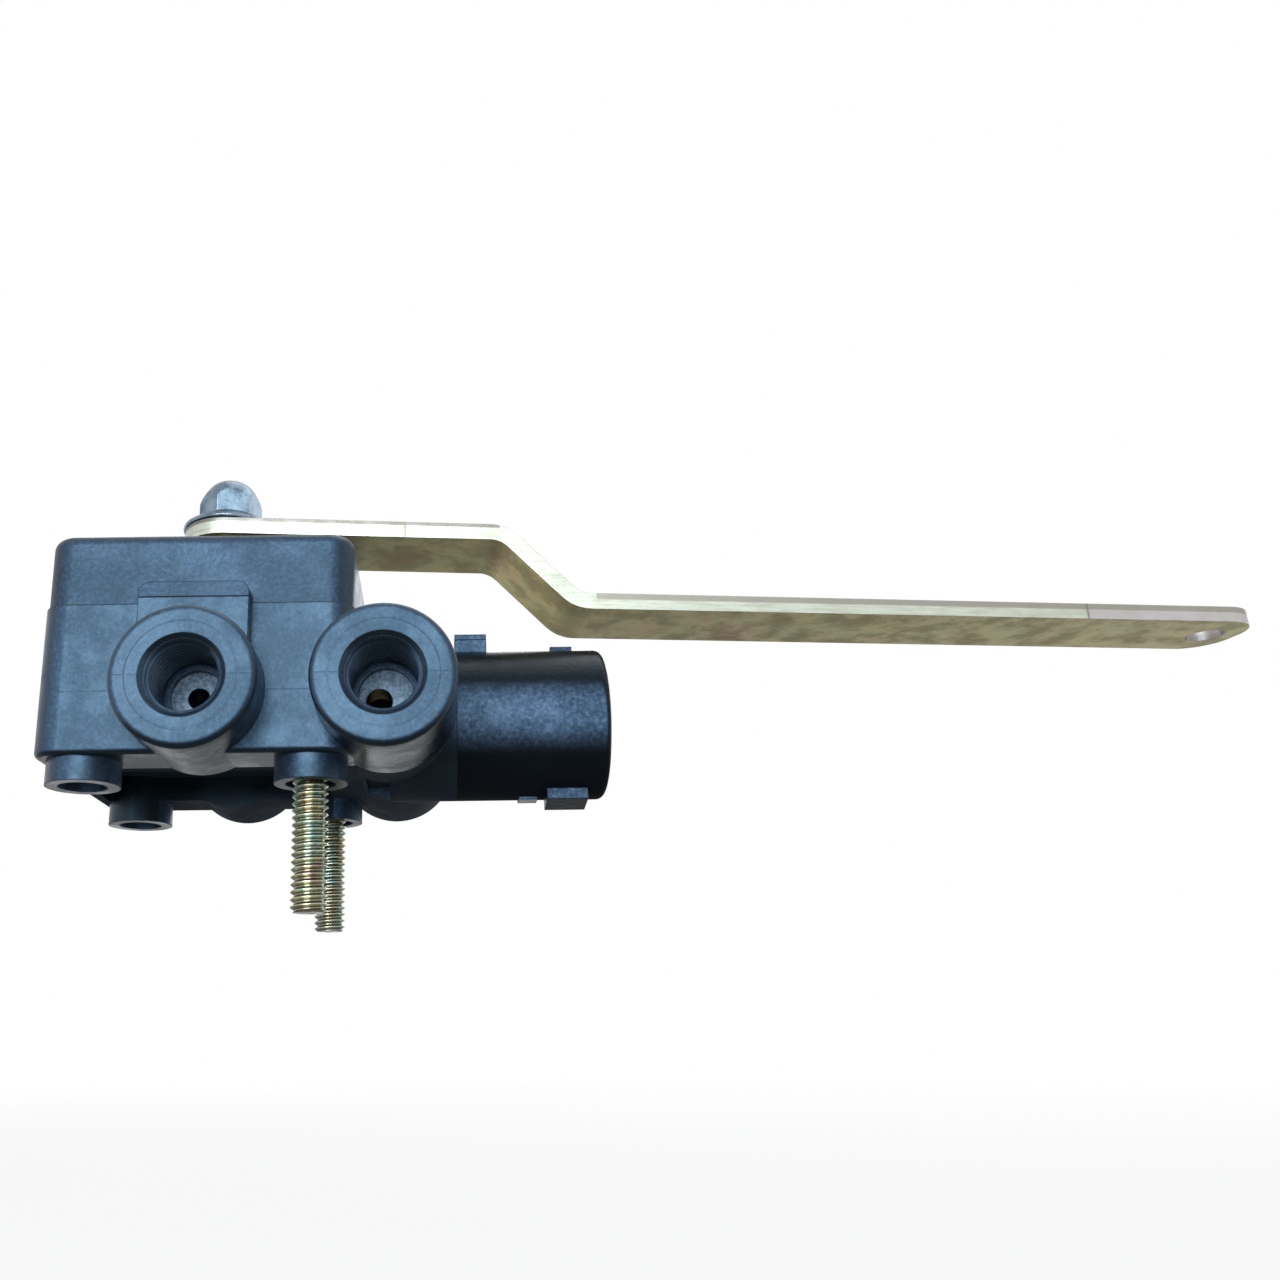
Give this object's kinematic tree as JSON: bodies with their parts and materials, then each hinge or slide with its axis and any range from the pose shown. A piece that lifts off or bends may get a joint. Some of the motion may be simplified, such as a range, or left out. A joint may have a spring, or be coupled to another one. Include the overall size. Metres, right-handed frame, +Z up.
{
  "type": "air suspension levelling valve",
  "caption": "Moulded air suspension levelling valve with threaded ports, joggled control lever, mounting studs and a round bayonet connector for its solenoid.",
  "frame": {"origin": "midway between the two mounting studs, in the plane of the four leg ends, where the valve meets its bracket", "axes": "+X from the lever shaft towards the electrical connector and the lever's free end, +Y from the front ports to the rear ports, +Z up along the lever shaft, away from the studs"},
  "size_m": [0.2462, 0.073, 0.0908],
  "materials": {
    "black_nylon": "fine grained, satin",
    "yellow_zinc": "yellow chromated zinc plate",
    "clear_zinc": "clear chromated zinc plate",
    "steel": "machined",
    "brass": "machined",
    "bronze": "sintered, oiled",
    "copper": "enamelled wire",
    "acetal": "moulded, satin",
    "black_rubber": "moulded",
    "tinned_pin": "tin plate"
  },
  "bodies": {
    "housing_set": {"valve_body": "black_nylon", "cover": "black_nylon", "connector_housing": "black_nylon", "cover_screw_1": "steel", "cover_screw_2": "steel", "cover_screw_3": "steel", "cover_screw_4": "steel", "stud_front": "yellow_zinc", "stud_rear": "yellow_zinc", "check_seat": "brass", "check_spring": "steel", "solenoid_seat": "brass", "guide_tube": "steel", "pole_core": "steel", "armature_spring": "steel", "coil_bobbin": "acetal", "coil_winding": "copper", "yoke_can": "steel", "contact_front": "tinned_pin", "contact_rear": "tinned_pin", "cover_seal": "black_rubber", "seat_ring": "black_rubber", "spigot_ring": "black_rubber", "lip_seal": "black_rubber", "shaft_bush": "bronze", "thrust_washer": "acetal"},
    "lever_set": {"control_shaft": "steel", "lever": "yellow_zinc", "flange_nut": "clear_zinc"},
    "spool_set": {"spool": "acetal", "spool_rings": "black_rubber"},
    "check_set": {"check_valve": "black_rubber"},
    "armature_set": {"armature": "steel", "armature_tip": "black_rubber"}
  },
  "joints": [
    {"name": "lever_swing", "type": "hinge", "parent": "housing_set", "child": "lever_set", "pos_m": [-0.02, 0, 0.0535], "axis": [0, 0, 1], "range_deg": [-45, 45]},
    {"name": "spool_travel", "type": "slide", "parent": "housing_set", "child": "spool_set", "axis": [1, 0, 0], "range_m": [-0.0016, 0.0016]},
    {"name": "check_lift", "type": "slide", "parent": "housing_set", "child": "check_set", "axis": [-1, 0, 0], "range_m": [0, 0.0015], "stiffness_N_per_m": 200, "springref_m": -0.003, "deforming": ["check_spring"]},
    {"name": "armature_pull", "type": "slide", "parent": "housing_set", "child": "armature_set", "axis": [1, 0, 0], "range_m": [0, 0.0011], "stiffness_N_per_m": 600, "springref_m": -0.003, "deforming": ["armature_spring"]}
  ],
  "couplings": [
    {"joint": "spool_travel", "follows": "lever_swing", "m_per_rad": 0.00203}
  ]
}
